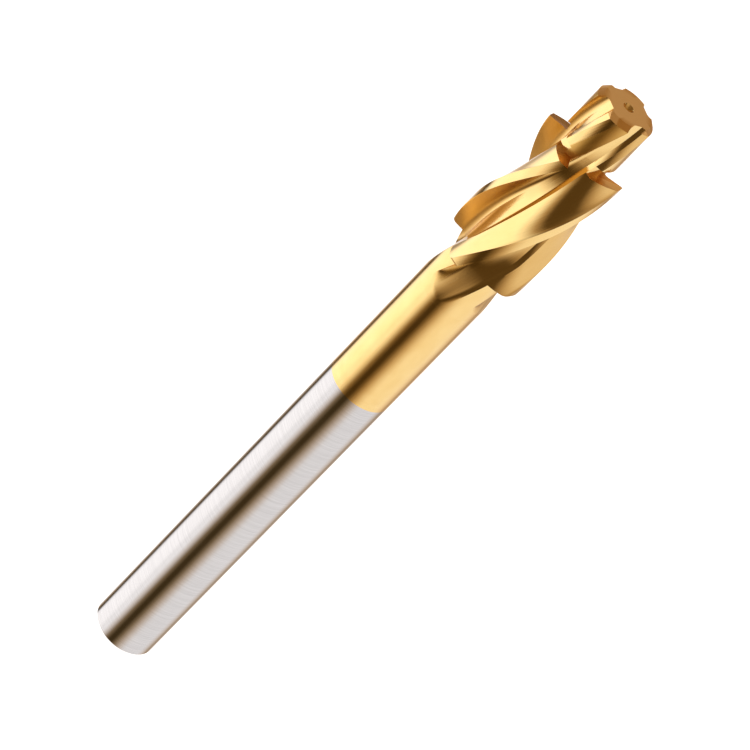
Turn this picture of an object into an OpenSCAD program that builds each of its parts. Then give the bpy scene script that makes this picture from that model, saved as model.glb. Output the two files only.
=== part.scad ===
// Counterbore end mill with a solid fluted pilot.
// The tool axis is +Z, the pilot end is up, and z = 0 is the rear face of the shank.
// Right-hand helix and right-hand cut: every tooth leads in the counter-clockwise sense seen from above.

/* [Shank and neck] */

// diameter of the plain shank and of the coated neck
shank_d = 10; // [6:0.5:20]
// length of the bare ground shank, rear face to the edge of the coating
shank_len = 60.3; // [30:0.1:100]
// distance from the rear face to the rear shoulder of the cutting head
shoulder_z = 88.3; // [60:0.1:140]
// 45 degree chamfer round the rear face
shank_chamfer = 0.5; // [0.1:0.1:1.5]
// mouth diameter of the centre hole in the rear face
rear_centre_d = 3.2; // [1:0.1:5]

/* [Cutting head] */

// diameter over the cutting edges
head_d = 13.5; // [8:0.1:30]
// length from the rear shoulder to the end cutting edges
head_len = 22.7; // [10:0.1:50]
// number of teeth
tooth_count = 4; // [2:1:6]
// axial length of one turn of the flutes
lead = 78; // [40:0.1:200]
// radius of the rounded rear corner of a tooth
corner_r = 0.6; // [0.2:0.1:1.5]
// end relief: fall of the end face for each degree behind the cutting edge
end_relief = 0.012; // [0:0.002:0.05]

/* [Tooth section] */

// width of the cylindrical land behind the cutting edge, in degrees
land_deg = 12; // [6:1:20]
// width of the ground back behind the land, in degrees
back_deg = 46; // [30:1:50]
// fall of the ground back, in mm of radius
back_drop = 2.85; // [2:0.05:3.2]
// shape of the back, 1 for an even fall
back_power = 1.25; // [1:0.05:1.6]
// backward lean of the rake face, as a slope
rake_slope = 0.25; // [0:0.01:0.35]
// fillet between the rake face and the flank of the flute
rake_fillet = 1.1; // [0.7:0.05:1.4]
// direction the straight flank of the flute is square to, in degrees behind the edge that faces it
flank_deg = -10; // [-14:1:-6]
// height of the heel facet between the flank and the ridge
heel_rise = 0.6; // [0.3:0.05:0.7]
// width of the heel facet, in degrees
heel_width_deg = 6; // [4:0.5:8]
// how much lower the heel facet is at the rear shoulder
heel_fade = 0.28; // [0:0.01:0.3]
// length of the head over which it grows to its full height
heel_fade_len = 5.7; // [2:0.1:10]

/* [Flute run-out] */

// length of the section of the neck that holds the run-outs
runout_len = 7.3; // [5:0.1:12]
// length over which the rake side of a run-out starts later than its tip
runout_lead_rise = 1.5; // [0.5:0.1:3]

/* [Pilot] */

// diameter of the pilot lands
pilot_d = 9; // [6:0.1:20]
// distance from the end cutting edges to the pilot end
pilot_len = 9; // [5:0.1:20]
// length of the relief groove
groove_len = 1.1; // [0.5:0.1:2]
// chamfer at the pilot end
pilot_chamfer = 0.7; // [0.1:0.1:1.2]
// mouth diameter of the centre hole in the pilot end
front_centre_d = 1.7; // [0.8:0.1:3]

/* [Hidden] */

bare_steel = "#c9c9c6";
coating = "#d9a944";
$fn = 96;

shank_r = shank_d / 2;
head_r = head_d / 2;
pilot_r = pilot_d / 2;
pitch = 360 / tooth_count;
edge_z = shoulder_z + head_len;
tool_len = edge_z + pilot_len;
groove_end = edge_z + groove_len;
runout_z = shoulder_z - runout_len;

// angle of the first cutting edge at the end of the head, so that it faces the front
front_deg = -90;

// angles across one tooth, in degrees behind its cutting edge
seam_gap = 16;
seam = pitch - seam_gap;

// the ridge where the ground back meets the flute drifts back along the head
ridge_rear_deg = land_deg + back_deg * pow((head_r - shank_r) / back_drop, back_power);
ridge_front_deg = land_deg + back_deg;
ridge_rear_len = 4.7;
ridge_front_len = 1.2;
ridge_rear_z = shoulder_z + ridge_rear_len;
ridge_front_z = edge_z - ridge_front_len;

// the relief groove behind the pilot is as deep as the ridge
groove_r = head_r - back_drop;

function mix(a, b, t) = a + (b - a) * t;
function clamp(v, lo, hi) = min(hi, max(lo, v));
function edge_deg(z) = front_deg + 360 * (z - edge_z) / lead;

function ridge_deg(z) = mix(ridge_rear_deg, ridge_front_deg,
    clamp((z - ridge_rear_z) / (ridge_front_z - ridge_rear_z), 0, 1));
function ridge_r(z) = head_r - back_drop * pow((ridge_deg(z) - land_deg) / back_deg, 1 / back_power);

// degrees behind the cutting edge where the back of a tooth has radius r
function back_at(r) = land_deg + back_deg * pow(max(0, head_r - r) / back_drop, back_power);

// the heel facet joins the ridge to the straight flank of the flute
function heel_deg(z) = ridge_deg(z) + heel_width_deg;
function heel_r(z) = ridge_r(z) - heel_rise
    + heel_fade * pow(clamp((shoulder_z - z) / heel_fade_len + 1, 0, 1), 2);
function facet_at(r, z) = mix(heel_deg(z), ridge_deg(z), (r - heel_r(z)) / (ridge_r(z) - heel_r(z)));
function flank_dist(z) = heel_r(z) * cos(heel_deg(z) - pitch - flank_deg);
function flank_at(d, z) = flank_dist(z) / cos(d - flank_deg);

// the rake face is a straight lean with a fillet to the flank, centred at [along, square to] the face
lean = atan(rake_slope);
fillet_y = head_r * sin(lean) - rake_fillet;
function fillet_x(z) = (flank_dist(z) + rake_fillet - fillet_y * sin(flank_deg + lean)) / cos(flank_deg + lean);
function fillet_centre_r(z) = norm([fillet_x(z), fillet_y]);
function bottom_r(z) = fillet_centre_r(z) - rake_fillet;
function bottom_deg(z) = atan2(fillet_y, fillet_x(z)) - lean;
function tangent_r(z) = norm([fillet_x(z), fillet_y + rake_fillet]);
function lean_at(r) = asin(head_r * sin(lean) / r) - lean;
function fillet_at(r, z) = bottom_deg(z)
    + acos(clamp((r * r + pow(fillet_centre_r(z), 2) - rake_fillet * rake_fillet)
    / (2 * r * fillet_centre_r(z)), -1, 1));
function lead_at(r, z) = r >= tangent_r(z) ? lean_at(r) : fillet_at(r, z);

// the core stays inside the flutes
core_margin = 0.4;
core_r = bottom_r(edge_z) - core_margin;

// one tooth section at height z inside the outer radius r_out, as [radius, degrees behind the edge]
flank_steps = 4;
back_steps = 6;
land_steps = 3;
rake_steps = 8;
function flank_side(r_out, z) =
    let (ridge = min(r_out, ridge_r(z)))
    concat(
        [for (j = [0 : flank_steps]) let (d = mix(seam, heel_deg(z), j / flank_steps)) [flank_at(d - pitch, z), d]],
        [[ridge, facet_at(ridge, z)]]);
function land_side(r_out, z, heel) =
    [for (j = [1 : land_steps - 1]) [r_out, mix(heel, lead_at(r_out, z), j / land_steps)]];
function rake_side(r_out, z) =
    let (low = bottom_r(z))
    concat(
        [for (j = [0 : rake_steps])
            let (r = low + (r_out - low) * pow(1 - j / rake_steps, 2)) [r, lead_at(r, z)]],
        [[flank_at(seam - pitch, z), seam - pitch]]);
function head_outline(r_out, z) = concat(
    flank_side(r_out, z),
    [for (j = [1 : back_steps]) let (r = mix(ridge_r(z), r_out, j / back_steps)) [r, back_at(r)]],
    land_side(r_out, z, back_at(r_out)),
    rake_side(r_out, z));
// the back of a pilot land is one step from the ridge, also where the land is no higher than the ridge
function pilot_outline(r_out, z) = concat(
    flank_side(r_out, z),
    [[r_out, back_at(pilot_r)]],
    land_side(r_out, z, back_at(pilot_r)),
    rake_side(r_out, z));

// the inner side of a tooth has one point for each point of the outline
inner_heel_deg = 42;
inner_rake_deg = 31;
inner_floor_deg = -6;
inner_heel_gap = 2;
function inner_angles(heel_count) = concat(
    [seam],
    [for (j = [0 : heel_count - 1]) mix(seam - inner_heel_gap, inner_heel_deg, j / (heel_count - 1))],
    [for (j = [1 : land_steps - 1]) mix(inner_heel_deg, inner_rake_deg, j / land_steps)],
    [for (j = [0 : rake_steps]) mix(inner_rake_deg, inner_floor_deg, j / rake_steps)],
    [seam - pitch]);

// fall of the end face behind the cutting edge, back to nothing at the flute
relief_end_deg = 48;
function end_fall(d) = d <= 0 ? 0
    : d < relief_end_deg ? end_relief * d
    : end_relief * relief_end_deg * clamp((seam - d) / (seam - relief_end_deg), 0, 1);

function place(r, d, z, k) = let (a = edge_deg(z) + pitch * k - d) [r * cos(a), r * sin(a), z];

// closed shell through a stack of sections, each an outline followed by its inner side
function shell_faces(count, sections) =
    let (ring = 2 * count)
    concat(
        [for (s = [0 : sections - 2]) for (i = [0 : ring - 1])
            let (n = (i + 1) % ring, a = s * ring + i, b = s * ring + n, c = b + ring, d = a + ring)
            each [[a, c, b], [a, d, c]]],
        [for (i = [0 : count - 2])
            let (a = i, b = i + 1, c = ring - 2 - i, d = ring - 1 - i) each [[a, b, c], [a, c, d]]],
        [for (i = [0 : count - 2])
            let (o = (sections - 1) * ring, a = o + i, b = o + i + 1, c = o + ring - 2 - i, d = o + ring - 1 - i)
            each [[a, c, b], [a, d, c]]]);

function section_points(outline, inner, k, z, fall) = concat(
    [for (p = outline) place(p[0], p[1], z - fall * end_fall(p[1]), k)],
    [for (i = [len(inner) - 1 : -1 : 0]) place(core_r, inner[i], z - fall * end_fall(inner[i]), k)]);

// heights and outer radii of the sections of a tooth
corner_steps = [0, 0.1, 0.3, 0.6, 1];
tooth_step = 1;
relief_len = 3;
body_steps = ceil((head_len - corner_r) / tooth_step);
tooth_levels = concat(
    [for (t = corner_steps) [shoulder_z + corner_r * t, head_r - corner_r * (1 - sqrt(1 - pow(1 - t, 2)))]],
    [for (j = [1 : body_steps]) [mix(shoulder_z + corner_r, edge_z, j / body_steps), head_r]]);

// heights and outer radii of the sections of a pilot land
pilot_wall = 0.08;
pilot_steps = 7;
pilot_levels = concat(
    [[edge_z, groove_r], [groove_end, groove_r]],
    [for (j = [0 : pilot_steps])
        [mix(groove_end + pilot_wall, tool_len - pilot_chamfer, j / pilot_steps), pilot_r]],
    [[tool_len, pilot_r - pilot_chamfer]]);

module tooth(k) {
    inner = inner_angles(flank_steps + 1 + back_steps);
    points = [for (level = tooth_levels)
        let (z = level[0], fall = clamp(1 - (edge_z - z) / relief_len, 0, 1))
        each section_points(head_outline(level[1], z), inner, k, z, fall)];
    color(coating) polyhedron(points, shell_faces(len(inner), len(tooth_levels)));
}

module pilot_land(k) {
    inner = inner_angles(flank_steps + 2);
    points = [for (j = [0 : len(pilot_levels) - 1])
        let (z = pilot_levels[j][0])
        each section_points(pilot_outline(pilot_levels[j][1], z), inner, k, z, j == 0 ? 1 : 0)];
    color(coating) polyhedron(points, shell_faces(len(inner), len(pilot_levels)));
}

// depth of the flute through the run-out: 0 on the plain neck, 1 at the shoulder
runout_entry = 1.27;
runout_tip = 0.9;
runout_heel_rise = 0.8;
runout_tip_at = 0.25;
function runout_start(v) = runout_z + runout_tip
    + (v < runout_tip_at ? runout_heel_rise * pow(1 - v / runout_tip_at, 2)
        : runout_lead_rise * (v - runout_tip_at) / (1 - runout_tip_at));
function runout_depth(v, z) =
    let (s = clamp((z - runout_start(v)) / (shoulder_z - runout_start(v)), 0, 1))
    runout_entry * s + (1 - runout_entry) * s * s;

flute_steps = 20;
runout_land_steps = 4;
runout_levels = 12;

// the flute from heel to rake on the shoulder plane, as [radius, degrees behind the edge]
// the heel facet and the rake side each take a share of the way across, and the flank the rest
heel_share = 0.15;
rake_share = 0.42;
function flute_base(v) =
    let (z = shoulder_z, low = bottom_r(z))
    v < heel_share ? let (r = mix(shank_r, heel_r(z), v / heel_share)) [r, facet_at(r, z)]
    : v > 1 - rake_share
    ? let (r = low + (shank_r - low) * pow((v - 1 + rake_share) / rake_share, 2)) [r, pitch + lead_at(r, z)]
    : let (d = mix(heel_deg(z), pitch + bottom_deg(z), (v - heel_share) / (1 - heel_share - rake_share)))
    [flank_at(d - pitch, z), d];
function flute_point(v, z) =
    let (base = flute_base(v), rake = pitch + lead_at(shank_r, shoulder_z), depth = runout_depth(v, z))
    [mix(shank_r, base[0], depth), mix(mix(ridge_rear_deg, rake, v), base[1], depth)];
function runout_ring(z) = [for (k = [0 : tooth_count - 1]) each concat(
    [for (j = [flute_steps : -1 : 0]) let (p = flute_point(j / flute_steps, z)) place(p[0], p[1], z, k)],
    [for (j = [1 : runout_land_steps - 1])
        place(shank_r, mix(ridge_rear_deg, lead_at(shank_r, shoulder_z), j / runout_land_steps), z, k)])];

// the plain inside of the run-out section, one point for each point of its outline
hub_r = 2;
hub_rake_deg = 25;
function hub_ring(z) = [for (k = [0 : tooth_count - 1]) each concat(
    [for (j = [flute_steps : -1 : 0]) place(hub_r, mix(inner_heel_deg, pitch + hub_rake_deg, j / flute_steps), z, k)],
    [for (j = [1 : runout_land_steps - 1])
        place(hub_r, mix(inner_heel_deg, hub_rake_deg, j / runout_land_steps), z, k)])];

module flute_runout() {
    zs = [for (j = [0 : runout_levels]) mix(runout_z, shoulder_z, j / runout_levels)];
    rings = [for (z = zs) each runout_ring(z)];
    n = len(runout_ring(runout_z));
    m = len(zs);
    caps = concat(hub_ring(runout_z), hub_ring(shoulder_z));
    base = n * m;
    top = base + n;
    wall = [for (s = [0 : m - 2]) for (i = [0 : n - 1])
        let (a = s * n + i, b = s * n + (i + 1) % n, c = b + n, d = a + n) each [[a, c, b], [a, d, c]]];
    bottom_cap = [for (i = [0 : n - 1])
        let (j = (i + 1) % n) each [[i, j, base + j], [i, base + j, base + i]]];
    top_cap = [for (i = [0 : n - 1])
        let (j = (i + 1) % n, o = (m - 1) * n) each [[o + j, o + i, top + i], [o + j, top + i, top + j]]];
    discs = [[for (i = [0 : n - 1]) base + i], [for (i = [n - 1 : -1 : 0]) top + i]];
    color(coating) polyhedron(concat(rings, caps), concat(wall, bottom_cap, top_cap, discs));
}

// a 60 degree centre hole with a short drilled end, mouth at z = 0, going down
drill_share = 0.47;
drill_depth_share = 0.7;
module centre_hole(mouth_d) {
    drill_d = mouth_d * drill_share;
    drill_len = mouth_d * drill_depth_share;
    cone_len = (mouth_d - drill_d) / 2 / tan(30);
    translate([0, 0, -cone_len]) cylinder(h = cone_len, d1 = drill_d, d2 = mouth_d);
    translate([0, 0, -cone_len - drill_len]) cylinder(h = drill_len, d = drill_d);
}

module shank() {
    color(bare_steel) difference() {
        union() {
            cylinder(h = shank_chamfer, r1 = shank_r - shank_chamfer, r2 = shank_r);
            translate([0, 0, shank_chamfer]) cylinder(h = shank_len - shank_chamfer, r = shank_r);
        }
        mirror([0, 0, 1]) centre_hole(rear_centre_d);
    }
}

module neck() {
    color(coating) translate([0, 0, shank_len]) cylinder(h = runout_z - shank_len, r = shank_r);
}

module head_core() {
    color(coating) translate([0, 0, shoulder_z]) cylinder(h = head_len, r = core_r);
}

module pilot_core() {
    color(coating) difference() {
        translate([0, 0, edge_z]) cylinder(h = pilot_len, r = core_r);
        translate([0, 0, tool_len]) centre_hole(front_centre_d);
    }
}

shank();
neck();
flute_runout();
head_core();
tooth(0);  // tooth_1
tooth(1);  // tooth_2
tooth(2);  // tooth_3
tooth(3);  // tooth_4
pilot_core();
pilot_land(0);  // pilot_land_1
pilot_land(1);  // pilot_land_2
pilot_land(2);  // pilot_land_3
pilot_land(3);  // pilot_land_4
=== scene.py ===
"""Looks of the counterbore end mill: detailed ground surfaces, steel and gold coating, studio and camera.

Every piece replaces the CAD node of the same name and keeps its place and size.
The helical skin is one stack of rings with the same points in each ring, cut into the named pieces.
Lengths are in millimetres until a mesh is made, and angles round the tool are in degrees.
"""
import math

import bpy
import numpy as np
from mathutils import Matrix, Vector


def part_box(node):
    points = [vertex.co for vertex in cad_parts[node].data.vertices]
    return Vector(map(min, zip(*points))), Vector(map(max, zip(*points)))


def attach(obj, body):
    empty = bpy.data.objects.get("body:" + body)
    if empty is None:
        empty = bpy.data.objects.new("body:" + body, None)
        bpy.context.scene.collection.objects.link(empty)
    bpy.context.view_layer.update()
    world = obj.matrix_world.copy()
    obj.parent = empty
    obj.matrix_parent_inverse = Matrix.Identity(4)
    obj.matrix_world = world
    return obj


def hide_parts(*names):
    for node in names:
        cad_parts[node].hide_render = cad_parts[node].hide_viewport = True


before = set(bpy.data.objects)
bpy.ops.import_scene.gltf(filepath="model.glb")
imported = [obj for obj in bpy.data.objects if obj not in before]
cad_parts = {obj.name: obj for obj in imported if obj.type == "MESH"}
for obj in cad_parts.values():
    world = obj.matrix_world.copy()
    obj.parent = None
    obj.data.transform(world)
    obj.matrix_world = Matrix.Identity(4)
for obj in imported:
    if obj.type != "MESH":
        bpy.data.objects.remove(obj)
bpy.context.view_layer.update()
MM = 0.001


def node_box(name):
    low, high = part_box(name)
    return [v / MM for v in low], [v / MM for v in high]


# ---------------------------------------------------------------- sizes of the CAD part
TEETH = 4
PITCH = 360 / TEETH
SHANK_R = node_box("shank")[1][0]
SHANK_LEN = node_box("shank")[1][2]
RUNOUT_Z = node_box("neck")[1][2]
SHOULDER_Z = node_box("flute_runout")[1][2]
EDGE_Z = node_box("head_core")[1][2]
TOOL_LEN = node_box("pilot_core")[1][2]
HUB_R = node_box("head_core")[1][0]
HEAD_R = 6.75
PILOT_R = 4.5
LEAD = 78.0
FLANK_DEG = -10
LAND_DEG = 12
BACK_DEG = 46
BACK_DROP = 2.85
BACK_POWER = 1.25
RAKE_SLOPE = 0.25
RAKE_FILLET = 1.1
CORNER_R = 0.6
END_RELIEF = 0.012
RELIEF_END_DEG = 48
RELIEF_LEN = 3.0
GROOVE_R = HEAD_R - BACK_DROP
GROOVE_END = EDGE_Z + 1.1
GROOVE_WALL = 0.08
PILOT_CHAMFER = 0.7
SHANK_CHAMFER = 0.5
REAR_CENTRE_D = 3.2
FRONT_CENTRE_D = 1.7
FRONT_DEG = -90
HEEL_RISE = 0.6
HEEL_DEG = 6
HEEL_FADE = 0.28
HEEL_FADE_LEN = 5.7
SEAM = PITCH - 16
RIDGE_REAR_DEG = LAND_DEG + BACK_DEG * ((HEAD_R - SHANK_R) / BACK_DROP) ** BACK_POWER
RIDGE_FRONT_DEG = LAND_DEG + BACK_DEG
RIDGE_REAR_Z = SHOULDER_Z + 4.7
RIDGE_FRONT_Z = EDGE_Z - 1.2
RUNOUT_ENTRY = 1.27
RUNOUT_TIP = 0.9
RUNOUT_LEAD_RISE = 1.5
RUNOUT_HEEL_RISE = 0.8
RUNOUT_TIP_AT = 0.25
HEEL_SHARE = 0.15
RAKE_SHARE = 0.42
HUB_HEEL_DEG = 42
HUB_LAND_DEG = 31
HUB_RAKE_DEG = -6

# spacing of the rings, and offsets that keep the flow coordinates of separate surfaces apart
RUNOUT_STEP = 0.15
HEAD_STEP = 0.4
SHANK_STEP = 4
NECK_STEP = 3
CORNER_RINGS = 11
TOOTH_FLOW = 31
END_FLOW = 200
NEAR = 0.01


# ---------------------------------------------------------------- the tooth section
def mix(a, b, t):
    return a + (b - a) * t


def edge_deg(z):
    return FRONT_DEG + 360 * (z - EDGE_Z) / LEAD


def ridge_deg(z):
    along = np.clip((z - RIDGE_REAR_Z) / (RIDGE_FRONT_Z - RIDGE_REAR_Z), 0, 1)
    return mix(RIDGE_REAR_DEG, RIDGE_FRONT_DEG, along)


def ridge_r(z):
    return HEAD_R - BACK_DROP * ((ridge_deg(z) - LAND_DEG) / BACK_DEG) ** (1 / BACK_POWER)


def back_at(r):
    """Degrees behind the cutting edge where the back of a tooth has radius r."""
    return LAND_DEG + BACK_DEG * (np.maximum(0, HEAD_R - r) / BACK_DROP) ** BACK_POWER


def heel_deg(z):
    """Degrees behind the cutting edge where the flank of the flute meets the heel facet."""
    return ridge_deg(z) + HEEL_DEG


def heel_r(z):
    """Radius where the flank meets the heel facet, which is lower near the rear shoulder."""
    return ridge_r(z) - HEEL_RISE + HEEL_FADE * np.clip((SHOULDER_Z - z) / HEEL_FADE_LEN + 1, 0, 1) ** 2


def web_at(z):
    """Distance of the straight flank from the axis; the flank is square to the direction FLANK_DEG."""
    return heel_r(z) * math.cos(math.radians(heel_deg(z) - PITCH - FLANK_DEG))


def flank_at(d, z):
    return web_at(z) / np.cos(np.radians(d - FLANK_DEG))


def fillet_centre(z):
    """Centre of the fillet between rake face and flank, across the rake face and square to it."""
    lean = math.atan(RAKE_SLOPE)
    turn = math.radians(FLANK_DEG) + lean
    y = HEAD_R * math.sin(lean) - RAKE_FILLET
    return (web_at(z) + RAKE_FILLET - y * math.sin(turn)) / math.cos(turn), y


def bottom_r(z):
    return math.hypot(*fillet_centre(z)) - RAKE_FILLET


def bottom_deg(z):
    x, y = fillet_centre(z)
    return math.degrees(math.atan2(y, x) - math.atan(RAKE_SLOPE))


def lead_at(r, z):
    """Degrees behind the cutting edge where the rake face has radius r: a straight lean, then the fillet."""
    x, y = fillet_centre(z)
    centre_r = math.hypot(x, y)
    lean = math.atan(RAKE_SLOPE)
    straight = np.degrees(np.arcsin(np.clip(HEAD_R * math.sin(lean) / r, -1, 1)) - lean)
    curved = bottom_deg(z) + np.degrees(np.arccos(np.clip(
        (r * r + centre_r ** 2 - RAKE_FILLET ** 2) / (2 * r * centre_r), -1, 1)))
    return np.where(r >= math.hypot(x, y + RAKE_FILLET), straight, curved)


# points along one section: flank, heel facet, back, land, rake in three bands, rest of the flank
N_HEEL, N_FACET, N_BACK, N_LAND, N_HIGH, N_MID, N_LOW, N_FLOOR = 9, 5, 16, 5, 9, 7, 11, 3
N_POINTS = N_HEEL + N_FACET + N_BACK + N_LAND + N_HIGH + N_MID + N_LOW + N_FLOOR + 1
I_RIDGE = N_HEEL + N_FACET
I_LAND = I_RIDGE + N_BACK
I_EDGE = I_LAND + N_LAND
I_GROOVE = I_EDGE + N_HIGH + N_MID


def steps(count):
    return np.arange(1, count + 1) / count


def flute_sides(z, limit=HEAD_R):
    """What every section shares inside the radius limit: flank and facet, then low rake and rest of flank."""
    low, top = bottom_r(z), ridge_r(z)
    heel = [(flank_at(d - PITCH, z), d) for d in mix(SEAM, heel_deg(z), np.append(0, steps(N_HEEL)))]
    reach = min(1, (limit - heel_r(z)) / (top - heel_r(z)))
    facet = [(mix(heel_r(z), top, t), mix(heel_deg(z), ridge_deg(z), t)) for t in reach * steps(N_FACET)]
    down = low + (GROOVE_R - low) * (1 - steps(N_LOW)) ** 2
    rake = list(zip(down, lead_at(down, z)))
    floor = [(flank_at(d, z), d) for d in mix(bottom_deg(z), SEAM - PITCH, steps(N_FLOOR))]
    return heel + facet, rake + floor


def mid_rake(z, r_out, count, end_r):
    """Radii from r_out down to end_r, spaced as on the fillet."""
    low = bottom_r(z)
    start = math.sqrt((r_out - low) / (GROOVE_R - low))
    stop = math.sqrt((end_r - low) / (GROOVE_R - low))
    return low + (GROOVE_R - low) * mix(start, stop, steps(count)) ** 2


def head_section(z, r_out):
    heel, rake = flute_sides(z)
    back = mix(ridge_r(z), r_out, steps(N_BACK))
    high = mix(r_out, SHANK_R, steps(N_HIGH))
    mid = mid_rake(z, SHANK_R, N_MID, GROOVE_R)
    lead = float(lead_at(np.array([r_out]), z)[0])
    land = [(r_out, mix(float(back_at(r_out)), lead, t)) for t in steps(N_LAND)]
    return (heel + list(zip(back, back_at(back))) + land + list(zip(high, lead_at(high, z)))
            + list(zip(mid, lead_at(mid, z))) + rake)


def pilot_section(z, r_out):
    heel, rake = flute_sides(z, r_out)
    back = mix(heel[-1][0], r_out, steps(N_BACK))
    back_deg = np.minimum(back_at(back), heel[-1][1])
    mid = mid_rake(z, r_out, N_MID, min(r_out, GROOVE_R))
    lead = float(lead_at(np.array([r_out]), z)[0])
    land = [(r_out, mix(back_deg[-1], lead, t)) for t in steps(N_LAND + N_HIGH)]
    rake = [(min(r, r_out), d) for r, d in rake]
    return heel + list(zip(back, back_deg)) + land + list(zip(mid, lead_at(mid, z))) + rake


def groove_section(z):
    heel, rake = flute_sides(z)
    lead = float(lead_at(np.array([GROOVE_R]), z)[0])
    land = [(GROOVE_R, mix(RIDGE_FRONT_DEG, lead, t)) for t in steps(N_BACK + N_LAND + N_HIGH + N_MID)]
    return heel + land + rake


def runout_start(v):
    tip = RUNOUT_Z + RUNOUT_TIP
    if v < RUNOUT_TIP_AT:
        return tip + RUNOUT_HEEL_RISE * (1 - v / RUNOUT_TIP_AT) ** 2
    return tip + RUNOUT_LEAD_RISE * (v - RUNOUT_TIP_AT) / (1 - RUNOUT_TIP_AT)


def runout_section(z):
    """The flute fades from the shoulder to the plain neck; v runs across the flute from heel to rake."""
    heel, rake = flute_sides(SHOULDER_Z)
    mid = mid_rake(SHOULDER_Z, SHANK_R, N_MID, GROOVE_R)
    low = bottom_r(SHOULDER_Z)
    lead = float(lead_at(np.array([SHANK_R]), SHOULDER_Z)[0])
    across_end = PITCH + lead
    heel_end = heel_deg(SHOULDER_Z)
    width = PITCH + bottom_deg(SHOULDER_Z) - heel_end

    def fade(r, d, v, turn):
        start = runout_start(v)
        s = min(1, max(0, (z - start) / (SHOULDER_Z - start)))
        depth = RUNOUT_ENTRY * s + (1 - RUNOUT_ENTRY) * s * s
        return mix(SHANK_R, r, depth), mix(mix(RIDGE_REAR_DEG, across_end, v) - turn, d, depth)

    def flank_v(d):
        return HEEL_SHARE + (1 - HEEL_SHARE - RAKE_SHARE) * (d - heel_end) / width

    points = []
    for i, (r, d) in enumerate(heel):
        points.append(fade(r, d, HEEL_SHARE * (1 - (i - N_HEEL) / N_FACET) if i > N_HEEL else flank_v(d), 0))
    points += [(SHANK_R, mix(RIDGE_REAR_DEG, lead, t)) for t in steps(N_BACK + N_LAND + N_HIGH)]
    for r, d in list(zip(mid, lead_at(mid, SHOULDER_Z))) + rake[:N_LOW]:
        x = math.sqrt(max(0, r - low) / (SHANK_R - low))
        points.append(fade(r, d, 1 - RAKE_SHARE + RAKE_SHARE * x, PITCH))
    for r, d in rake[N_LOW:]:
        points.append(fade(r, d, flank_v(d + PITCH), PITCH))
    return points


def end_fall(d):
    rise = END_RELIEF * RELIEF_END_DEG * np.clip((SEAM - d) / (SEAM - RELIEF_END_DEG), 0, 1)
    return np.where(d <= 0, 0, np.where(d < RELIEF_END_DEG, END_RELIEF * d, rise))


def inner_angles():
    """One angle on the hub for each point of the section, so that an end face never crosses a flute."""
    before = np.linspace(SEAM - 2, HUB_HEEL_DEG, N_HEEL + N_FACET + N_BACK)
    land = mix(HUB_HEEL_DEG, HUB_LAND_DEG, steps(N_LAND))
    after = mix(HUB_LAND_DEG, HUB_RAKE_DEG, steps(N_HIGH + N_MID + N_LOW))
    floor = mix(HUB_RAKE_DEG, SEAM - PITCH, steps(N_FLOOR))
    return np.concatenate([[SEAM], before, land, after, floor])


# ---------------------------------------------------------------- rings up the tool
def ring_points(section, z, fall=0.0):
    """World points of one ring, tooth by tooth, with the end relief let in by fall."""
    rd = np.array(section, float)
    heights = z - fall * end_fall(rd[:, 1])
    teeth = []
    for k in range(TEETH):
        angle = np.radians(edge_deg(heights) + PITCH * k - rd[:, 1])
        teeth.append(np.stack([rd[:, 0] * np.cos(angle), rd[:, 0] * np.sin(angle), heights], -1))
    return np.array(teeth)


def relief_at(z):
    return min(1, max(0, 1 - (EDGE_Z - z) / RELIEF_LEN))


def spaced(low, high, step):
    return np.linspace(low, high, max(2, int(math.ceil((high - low) / step)) + 1))


class Solid:
    """Collects welded faces for the named pieces of the tool."""

    def __init__(self):
        self.points = []
        self.lookup = {}
        self.skin = {}
        self.inside = {}
        self.flow = {}

    def point(self, p, flow=None):
        key = tuple(np.round(np.asarray(p) * 1e4).astype(int))
        if key not in self.lookup:
            self.lookup[key] = len(self.points)
            self.points.append(tuple(float(c) for c in p))
        index = self.lookup[key]
        if flow is not None and index not in self.flow:
            self.flow[index] = flow
        return index

    def face(self, table, name, corners):
        unique = [c for i, c in enumerate(corners) if c != corners[i - 1]]
        if len(set(unique)) == len(unique) and len(unique) > 2:
            table.setdefault(name, []).append(tuple(unique))

    def strip(self, table, name, lower, upper):
        """Quads between two rows of point numbers."""
        for i in range(len(lower) - 1):
            self.face(table, name, [lower[i], lower[i + 1], upper[i + 1], upper[i]])


solid = Solid()


def add_ring(section, z, fall=0.0):
    """Adds one ring and returns its point numbers for each tooth.

    The flow coordinates run across the section, along the tool, and from 0 to 1 onto the rake face; the third
    one masks the painted shade and the rougher finish of the rake faces.
    """
    rd = np.array(section, float)
    # third flow coordinate: mask of painted shade on the rake faces, faded out where the flute runs out on
    # the neck
    rake = np.zeros(N_POINTS)
    rake[I_EDGE + 1:I_GROOVE] = 1
    rake[I_GROOVE:I_GROOVE + N_LOW] = 1 - steps(N_LOW)
    if z < SHOULDER_Z:
        rake *= np.clip((SHANK_R - rd[:, 0]) / 0.5, 0, 1)
    xy = np.stack([rd[:, 0] * np.cos(np.radians(rd[:, 1])), rd[:, 0] * np.sin(np.radians(rd[:, 1]))], -1)
    across = np.concatenate([[0], np.cumsum(np.hypot(*np.diff(xy, axis=0).T))])
    teeth = ring_points(section, z, fall)
    return [[solid.point(p, (across[i] + TOOTH_FLOW * k, p[2], rake[i]))
             for i, p in enumerate(tooth)] for k, tooth in enumerate(teeth)]


def add_hub(z, fall=0.0):
    """Adds one ring on the hub and returns its point numbers for each tooth."""
    teeth = ring_points([(HUB_R, d) for d in inner_angles()], z, fall)
    return [[solid.point(p) for p in tooth] for tooth in teeth]


# the plain round shank and neck, on the same angles as the first ring of the run-out
first = runout_section(RUNOUT_Z)
base_angles = np.concatenate([np.radians(edge_deg(RUNOUT_Z) + PITCH * k - np.array(first)[:-1, 1])
                              for k in range(TEETH)])


def round_ring(r, z, along):
    return [solid.point((r * math.cos(a), r * math.sin(a), z), (SHANK_R * a, along, 0)) for a in base_angles]


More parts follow.
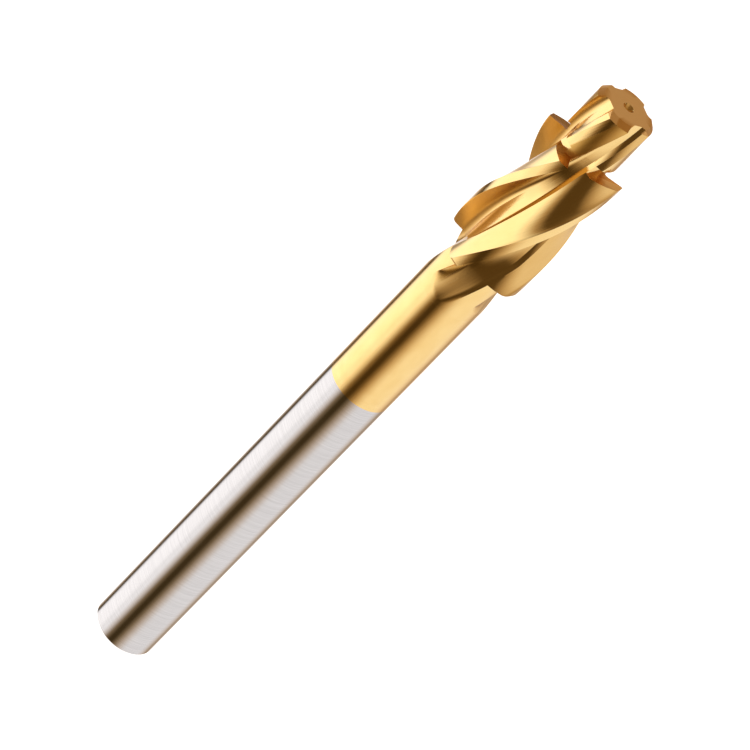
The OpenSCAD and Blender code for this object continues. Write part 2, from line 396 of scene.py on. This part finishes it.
def revolve(table, name, profile):
    """Faces of revolution along a list of (radius, z), outside to the right going up."""
    along = 0.0
    rings = []
    for i, (r, z) in enumerate(profile):
        if i:
            along += math.hypot(r - profile[i - 1][0], z - profile[i - 1][1])
        if r > 0:
            rings.append(round_ring(r, z, along + profile[0][1]))
        else:
            rings.append([solid.point((0, 0, z))] * len(base_angles))
    for low, high in zip(rings, rings[1:]):
        solid.strip(table, name, low + low[:1], high + high[:1])
    return rings


def centre_profile(mouth_d, z, way):
    """Profile of a 60 degree centre hole from its mouth inwards; way is +1 when the hole goes up."""
    drill_r = mouth_d * 0.235
    cone = (mouth_d / 2 - drill_r) / math.tan(math.radians(30))
    return [(mouth_d / 2, z), (drill_r, z + way * cone), (drill_r, z + way * (cone + mouth_d * 0.7)),
            (0, z + way * (cone + mouth_d * 0.7))]


rear_hole = centre_profile(REAR_CENTRE_D, 0.0, 1)[::-1]
shank_rise = [(SHANK_R, z) for z in spaced(SHANK_CHAMFER, SHANK_LEN, SHANK_STEP)]
revolve(solid.skin, "shank", rear_hole + [(SHANK_R - SHANK_CHAMFER, 0.0)] + shank_rise)
revolve(solid.inside, "shank", [(SHANK_R, SHANK_LEN), (0, SHANK_LEN)])
revolve(solid.skin, "neck", [(SHANK_R, z) for z in spaced(SHANK_LEN, RUNOUT_Z, NECK_STEP)])
revolve(solid.inside, "neck", [(0, SHANK_LEN), (SHANK_R, SHANK_LEN)])
revolve(solid.inside, "neck", [(SHANK_R, RUNOUT_Z), (0, RUNOUT_Z)])


def closed(row):
    return [i for tooth in row for i in tooth[:-1]] + [row[0][0]]


# run-out of the flutes on the neck
runout_rows = [add_ring(runout_section(z), z) for z in spaced(RUNOUT_Z, SHOULDER_Z, RUNOUT_STEP)]
for low, high in zip(runout_rows, runout_rows[1:]):
    solid.strip(solid.skin, "flute_runout", closed(low), closed(high))
revolve(solid.inside, "flute_runout", [(0, RUNOUT_Z), (SHANK_R, RUNOUT_Z)])

# head: rounded rear corner, body, relieved end
corner = [(SHOULDER_Z + CORNER_R * (1 - math.cos(t)), HEAD_R - CORNER_R * (1 - math.sin(t)))
          for t in np.radians(np.linspace(0, 90, CORNER_RINGS))]
head_levels = corner + [(z, HEAD_R) for z in spaced(SHOULDER_Z + CORNER_R, EDGE_Z, HEAD_STEP)[1:]]
head_rows = [add_ring(head_section(z, r), z, relief_at(z)) for z, r in head_levels]
hub_rows = [add_hub(z, relief_at(z)) for z, r in head_levels]

# pilot: relief groove, lands, end chamfer
groove_rows = [add_ring(groove_section(EDGE_Z), EDGE_Z, 1.0)]
groove_rows.append(add_ring(groove_section(GROOVE_END), GROOVE_END))
chamfer_z = TOOL_LEN - PILOT_CHAMFER
pilot_levels = [(z, PILOT_R) for z in spaced(GROOVE_END + GROOVE_WALL, chamfer_z, HEAD_STEP)]
pilot_levels += [(TOOL_LEN - PILOT_CHAMFER * (1 - t), PILOT_R - PILOT_CHAMFER * t) for t in steps(4)]
pilot_rows = groove_rows + [add_ring(pilot_section(z, r), z) for z, r in pilot_levels]
pilot_hub = [hub_rows[-1], add_hub(GROOVE_END)]
pilot_hub += [add_hub(z) for z, r in pilot_levels]

for k in range(TEETH):
    tooth = f"tooth_{k + 1}"
    land = f"pilot_land_{k + 1}"
    for rows, hubs, name in ((head_rows, hub_rows, tooth), (pilot_rows, pilot_hub, land)):
        for (low, high), (hub_low, hub_high) in zip(zip(rows, rows[1:]), zip(hubs, hubs[1:])):
            solid.strip(solid.skin, name, low[k], high[k])
            solid.strip(solid.inside, name, hub_high[k], hub_low[k])
            solid.strip(solid.inside, name, [hub_low[k][0], low[k][0]], [hub_high[k][0], high[k][0]])
            solid.strip(solid.inside, name, [low[k][-1], hub_low[k][-1]], [high[k][-1], hub_high[k][-1]])
    # the shoulder and the relieved end face are seen; the rest of each joint is inside
    solid.strip(solid.skin, tooth, runout_rows[-1][k], head_rows[0][k])
    solid.strip(solid.skin, tooth, head_rows[-1][k], pilot_rows[0][k])
    solid.strip(solid.inside, tooth, hub_rows[0][k], runout_rows[-1][k])
    solid.strip(solid.inside, tooth, pilot_rows[0][k], hub_rows[-1][k])
    solid.strip(solid.inside, land, hub_rows[-1][k], pilot_rows[0][k])
    solid.strip(solid.skin, land, pilot_rows[-1][k], pilot_hub[-1][k])

solid.strip(solid.inside, "flute_runout", closed(runout_rows[-1]), closed(hub_rows[0]))
bottom_hub, top_hub = closed(hub_rows[0]), closed(pilot_hub[-1])


def disc(table, name, ring, z, up):
    middle = solid.point((0, 0, z))
    for a, b in zip(ring, ring[1:]):
        solid.face(table, name, [a, b, middle] if up else [b, a, middle])


disc(solid.inside, "flute_runout", bottom_hub, SHOULDER_Z, True)
disc(solid.inside, "head_core", bottom_hub, SHOULDER_Z, False)
for low, high in zip(hub_rows, hub_rows[1:]):
    solid.strip(solid.inside, "head_core", closed(low), closed(high))
disc(solid.inside, "head_core", closed(hub_rows[-1]), EDGE_Z, True)
disc(solid.inside, "pilot_core", closed(pilot_hub[0]), EDGE_Z, False)
for low, high in zip(pilot_hub, pilot_hub[1:]):
    solid.strip(solid.inside, "pilot_core", closed(low), closed(high))

# end face of the pilot web, round its centre hole; inside the hole the third flow coordinate is 1, which
# paints shade there
hole = centre_profile(FRONT_CENTRE_D, TOOL_LEN, -1)
hub_angles = [math.atan2(solid.points[i][1], solid.points[i][0]) for i in top_hub]
hole_rings = []
for i, (r, z) in enumerate(hole):
    circle = [((r * math.cos(a), r * math.sin(a), z), (r * a, END_FLOW + r, min(i, 1))) for a in hub_angles]
    hole_rings.append([solid.point(place, flow) for place, flow in circle])
for low, high in zip([top_hub] + hole_rings, hole_rings):
    solid.strip(solid.skin, "pilot_core", low, high)


# ---------------------------------------------------------------- meshes with shared normals
SHARP_DEG = 13


def mesh_from(name, faces):
    mesh = bpy.data.meshes.new(name)
    used = sorted({i for f in faces for i in f})
    place = {i: n for n, i in enumerate(used)}
    corners = [tuple(c * MM for c in solid.points[i]) for i in used]
    mesh.from_pydata(corners, [], [[place[i] for i in f] for f in faces])
    mesh.update()
    return mesh, used


def corner_normals(faces):
    """Normals of every face corner of the whole outside, smooth except over edges sharper than SHARP_DEG."""
    mesh, _ = mesh_from("skin", faces)
    mesh.shade_smooth()
    mesh.set_sharp_from_angle(angle=math.radians(SHARP_DEG))
    normals = np.zeros(len(mesh.loops) * 3, np.float32)
    mesh.corner_normals.foreach_get("vector", normals)
    bpy.data.meshes.remove(mesh)
    return normals.reshape(-1, 3)


names = list(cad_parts)
all_faces = [f for n in names for f in solid.skin.get(n, [])]
all_normals = corner_normals(all_faces)
offset = 0
pieces = {}
for n in names:
    skin = solid.skin.get(n, [])
    inner = solid.inside.get(n, [])
    count = sum(len(f) for f in skin)
    mesh, used = mesh_from(n + "_mesh", skin + inner)
    mesh.shade_smooth()
    skin_normals = [Vector(v) for v in all_normals[offset:offset + count].tolist()]
    inner_normals = [mesh.polygons[len(skin) + i].normal for i, f in enumerate(inner) for _ in f]
    mesh.normals_split_custom_set(skin_normals + inner_normals)
    offset += count
    flow = mesh.attributes.new("flow", "FLOAT_VECTOR", "POINT")
    values = np.array([solid.flow.get(i, (0, 0, 0)) for i in used], np.float32)
    flow.data.foreach_set("vector", values.ravel())
    piece = bpy.data.objects.new(n + "_ground", mesh)
    bpy.context.scene.collection.objects.link(piece)
    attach(piece, "root")
    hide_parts(n)
    pieces[n] = piece


# ---------------------------------------------------------------- materials
def new_material(name):
    material = bpy.data.materials.new(name)
    material.use_nodes = True
    return material, material.node_tree, material.node_tree.nodes["Principled BSDF"]


def ramp(tree, source, stops):
    node = tree.nodes.new("ShaderNodeValToRGB")
    elements = node.color_ramp.elements
    while len(elements) < len(stops):
        elements.new(0.5)
    for element, (at, colour) in zip(elements, stops):
        element.position = at
        element.color = (*colour, 1) if isinstance(colour, tuple) else (colour, colour, colour, 1)
    tree.links.new(source, node.inputs["Fac"])
    return node.outputs["Color"]


def noise(tree, vector, scale, stretch, detail=3.0):
    mapping = tree.nodes.new("ShaderNodeMapping")
    mapping.inputs["Scale"].default_value = stretch
    tree.links.new(vector, mapping.inputs["Vector"])
    node = tree.nodes.new("ShaderNodeTexNoise")
    node.inputs["Scale"].default_value = scale
    node.inputs["Detail"].default_value = detail
    tree.links.new(mapping.outputs["Vector"], node.inputs["Vector"])
    return node.outputs["Fac"]


def bump(tree, shader, height, distance, strength, previous=None):
    node = tree.nodes.new("ShaderNodeBump")
    node.inputs["Distance"].default_value = distance
    node.inputs["Strength"].default_value = strength
    tree.links.new(height, node.inputs["Height"])
    if previous is not None:
        tree.links.new(previous, node.inputs["Normal"])
    tree.links.new(node.outputs["Normal"], shader.inputs["Normal"])
    return node.outputs["Normal"]


def flow_coordinates(tree):
    node = tree.nodes.new("ShaderNodeAttribute")
    node.attribute_name = "flow"
    return node.outputs["Vector"]


def ground_steel():
    material, tree, shader = new_material("ground_steel")
    flow = flow_coordinates(tree)
    marks = noise(tree, flow, 1.0, (0.12, 7.0, 1.0))
    patches = noise(tree, flow, 0.35, (1.0, 0.5, 1.0))
    tree.links.new(ramp(tree, marks, [(0.3, (0.62, 0.60, 0.565)), (0.7, (0.70, 0.68, 0.64))]),
                   shader.inputs["Base Color"])
    tree.links.new(ramp(tree, patches, [(0.3, 0.10), (0.7, 0.16)]), shader.inputs["Roughness"])
    shader.inputs["Metallic"].default_value = 1.0
    bump(tree, shader, marks, 0.00002, 0.15)
    return material


GOLD_LIGHT = (0.97, 0.69, 0.26)
GOLD_DARK = (0.94, 0.64, 0.22)
# The rake tint darkens the rake faces and the centre hole: painted shade in the flutes and the hole.
RAKE_PAINTED_SHADE = (0.8, 0.66, 0.36)
RAKE_ROUGHNESS = 0.36


def gold_coating(name, roughness, painted_shade):
    """Gold coating on ground steel, rougher on the rake faces (flow coordinate 1) and darker there: painted
    shade.
    """
    material, tree, shader = new_material(name)
    flow = flow_coordinates(tree)
    marks = noise(tree, flow, 1.0, (7.0, 0.25, 0.0))
    patches = noise(tree, flow, 0.5, (1.0, 0.5, 0.0))
    # the third argument darkens the whole copy: painted shade
    dark, light = [tuple(c * t for c, t in zip(tone, painted_shade)) for tone in (GOLD_DARK, GOLD_LIGHT)]
    tones = ramp(tree, patches, [(0.3, dark), (0.7, light)])
    split = tree.nodes.new("ShaderNodeSeparateXYZ")
    tree.links.new(flow, split.inputs["Vector"])
    rake = split.outputs["Z"]
    # painted shade: the colour darkens towards the rake faces, where the flow coordinate rises to 1
    shade = ramp(tree, rake, [(0.0, (1.0, 1.0, 1.0)), (1.0, RAKE_PAINTED_SHADE)])
    colour = tree.nodes.new("ShaderNodeMix")
    colour.data_type = "RGBA"
    colour.blend_type = "MULTIPLY"
    colour.inputs["Factor"].default_value = 1.0
    tree.links.new(tones, colour.inputs["A"])
    tree.links.new(shade, colour.inputs["B"])
    tree.links.new(colour.outputs["Result"], shader.inputs["Base Color"])
    rougher = tree.nodes.new("ShaderNodeMath")
    rougher.operation = "MULTIPLY_ADD"
    rougher.inputs[1].default_value = max(0, RAKE_ROUGHNESS - roughness)
    tree.links.new(rake, rougher.inputs[0])
    tree.links.new(ramp(tree, marks, [(0.3, roughness - 0.03), (0.7, roughness + 0.03)]), rougher.inputs[2])
    tree.links.new(rougher.outputs[0], shader.inputs["Roughness"])
    shader.inputs["Metallic"].default_value = 1.0
    shader.inputs["Coat Weight"].default_value = 0.6
    shader.inputs["Coat Roughness"].default_value = roughness
    bump(tree, shader, marks, 0.00002, 0.2)
    return material


steel = ground_steel()
coating = gold_coating("gold_coating", 0.14, (1.0, 1.0, 1.0))
# The matt and end copies are darker and browner: painted shade on the pilot end face, its chamfer and the
# tooth end faces; their rougher finish is real.
matt_coating_painted_shade = gold_coating("matt_coating_painted_shade", 0.6, (0.95, 0.85, 0.8))
end_coating_painted_shade = gold_coating("end_coating_painted_shade", 0.3, (0.85, 0.64, 0.4))
for n, piece in pieces.items():
    piece.data.materials.append(steel if n == "shank" else coating)
    if n.startswith("pilot"):
        piece.data.materials.append(matt_coating_painted_shade)
    if n.startswith("tooth"):
        piece.data.materials.append(end_coating_painted_shade)
    for polygon in piece.data.polygons:
        level = polygon.center.z / MM
        chamfer = level > TOOL_LEN - PILOT_CHAMFER and polygon.center.xy.length / MM > PILOT_R - PILOT_CHAMFER
        if n.startswith("pilot") and (chamfer or level > TOOL_LEN - NEAR):
            polygon.material_index = 1
        # up-facing end faces of the teeth get the darker copy as painted shade
        if n.startswith("tooth") and level > EDGE_Z - 1 and polygon.normal.z > 0.9:
            polygon.material_index = 1


# ---------------------------------------------------------------- camera
TILT = 33.5
ROLL = 45.86
SENSOR_WIDTH = 36
LENS = 177.3
DEPTH = 543.4
TWIST = -1.5
OFFSET_X = -36.9
OFFSET_Y = 37.26

tilt, roll = math.radians(TILT), math.radians(ROLL)
axis = Vector((math.cos(tilt) * math.cos(roll), -math.cos(tilt) * math.sin(roll), -math.sin(tilt)))
side = Vector((math.sin(roll), math.cos(roll), 0))
near = side.cross(axis)
base = Vector((OFFSET_X, OFFSET_Y, DEPTH))
twist = Matrix.Rotation(math.radians(TWIST), 3, "Z")


def in_frame(v):
    """A direction of the camera (right, down, forward) in the tool's frame."""
    return twist.inverted() @ Vector((v.dot(side), -v.dot(near), v.dot(axis)))


camera_data = bpy.data.cameras.new("camera")
camera_data.sensor_width = SENSOR_WIDTH
camera_data.lens = LENS
camera = bpy.data.objects.new("camera", camera_data)
bpy.context.scene.collection.objects.link(camera)
right, up, back = in_frame(Vector((1, 0, 0))), -in_frame(Vector((0, 1, 0))), -in_frame(Vector((0, 0, 1)))
turn = Matrix((right, up, back)).transposed().to_4x4()
camera.matrix_world = Matrix.Translation(-in_frame(base) * MM) @ turn
camera_data.clip_start = 0.05
camera_data.clip_end = 20
bpy.context.scene.camera = camera


# ---------------------------------------------------------------- floor and light
def pale_floor():
    """White floor under the tool, for the camera only, so that it casts nothing into the reflections."""
    mesh = bpy.data.meshes.new("pale_floor_mesh")
    half = 3.0
    corners = [(-half, -half, 0), (half, -half, 0), (half, half, 0), (-half, half, 0)]
    mesh.from_pydata(corners, [], [(0, 1, 2, 3)])
    floor = bpy.data.objects.new("pale_floor", mesh)
    floor.location.z = -0.0005
    bpy.context.scene.collection.objects.link(floor)
    material, tree, shader = new_material("pale_floor")
    shader.inputs["Base Color"].default_value = (0.9, 0.9, 0.9, 1)
    shader.inputs["Roughness"].default_value = 0.9
    shader.inputs["Emission Color"].default_value = (1, 1, 1, 1)
    shader.inputs["Emission Strength"].default_value = 1.0
    floor.data.materials.append(material)
    floor.visible_glossy = False
    floor.visible_diffuse = False


# The studio is four levels of soft panels round the tool. A level is the dim light between its panels, then
# the panels: middle, half width and soft edge in degrees from the camera side, and strength.
LOW_LEVEL = 0.04, [(-95, 22, 16, 1.4), (-65, 15, 35, 1.2), (80, 25, 60, 1.0), (180, 10, 35, 0.9)]
MIDDLE_LEVEL = 0.06, [(-90, 38, 42, 1.4), (100, 35, 50, 0.75), (180, 40, 20, 0.5)]
HIGH_LEVEL = 0.13, [(45, 20, 30, 0.4)]
TOP_LEVEL = 0.28, [(180, 60, 60, 0.75)]
RING_STOPS = 30
NADIR_LIGHT = 0.34


def warm(value):
    """Light of the given strength, whiter where it is strong and browner in the gaps."""
    t = min(1, value) ** 0.6
    return value * mix(1.6, 1.02, t), value * mix(0.88, 1, t), value * mix(0.18, 1.05, t)


def panel_light(level, direction):
    """Strength of a level of the studio in a direction, in degrees from the camera side."""
    between, panels = level
    found = [between]
    for middle, half_width, edge, strength in panels:
        away = abs((direction - middle + 180) % 360 - 180) - half_width
        t = min(1, max(0, away / edge))
        found.append(strength * (1 - t * t * (3 - 2 * t)))
    return max(found)


def studio():
    """Soft light all round, with darker gaps between the panels, fixed in the tool's frame."""
    world = bpy.data.worlds.new("studio")
    bpy.context.scene.world = world
    world.use_nodes = True
    tree = world.node_tree
    background = tree.nodes["Background"]
    coords = tree.nodes.new("ShaderNodeTexCoord")
    mapping = tree.nodes.new("ShaderNodeMapping")
    mapping.inputs["Rotation"].default_value = (0, 0, math.radians(90 + TWIST))
    tree.links.new(coords.outputs["Generated"], mapping.inputs["Vector"])
    radial = tree.nodes.new("ShaderNodeTexGradient")
    radial.gradient_type = "RADIAL"
    tree.links.new(mapping.outputs["Vector"], radial.inputs["Vector"])
    split = tree.nodes.new("ShaderNodeSeparateXYZ")
    tree.links.new(coords.outputs["Generated"], split.inputs["Vector"])

    def ring(level):
        turns = [i / RING_STOPS for i in range(RING_STOPS + 1)]
        stops = [(t, warm(panel_light(level, t * 360 - 180))) for t in turns]
        return ramp(tree, radial.outputs["Fac"], stops)

    def rising(low, high):
        node = tree.nodes.new("ShaderNodeMapRange")
        node.interpolation_type = "SMOOTHSTEP"
        node.inputs["From Min"].default_value = low
        node.inputs["From Max"].default_value = high
        tree.links.new(split.outputs["Z"], node.inputs["Value"])
        return node.outputs["Result"]

    def blend(factor, first, second):
        node = tree.nodes.new("ShaderNodeMix")
        node.data_type = "RGBA"
        tree.links.new(factor, node.inputs["Factor"])
        for source, socket in ((first, node.inputs["A"]), (second, node.inputs["B"])):
            if isinstance(source, tuple):
                socket.default_value = (*source, 1)
            else:
                tree.links.new(source, socket)
        return node.outputs["Result"]

    lower = blend(rising(-0.95, -0.68), warm(NADIR_LIGHT), ring(LOW_LEVEL))
    middle = blend(rising(-0.45, -0.22), lower, ring(MIDDLE_LEVEL))
    upper = blend(rising(0.5, 0.72), ring(HIGH_LEVEL), ring(TOP_LEVEL))
    tree.links.new(blend(rising(0.02, 0.26), middle, upper), background.inputs["Color"])
    background.inputs["Strength"].default_value = 1.0
    white = tree.nodes.new("ShaderNodeBackground")
    white.inputs["Color"].default_value = (1, 1, 1, 1)
    rays = tree.nodes.new("ShaderNodeLightPath")
    switch = tree.nodes.new("ShaderNodeMixShader")
    tree.links.new(rays.outputs["Is Camera Ray"], switch.inputs["Fac"])
    tree.links.new(background.outputs["Background"], switch.inputs[1])
    tree.links.new(white.outputs["Background"], switch.inputs[2])
    tree.links.new(switch.outputs["Shader"], tree.nodes["World Output"].inputs["Surface"])


pale_floor()
studio()
bpy.context.scene.view_settings.view_transform = "Standard"
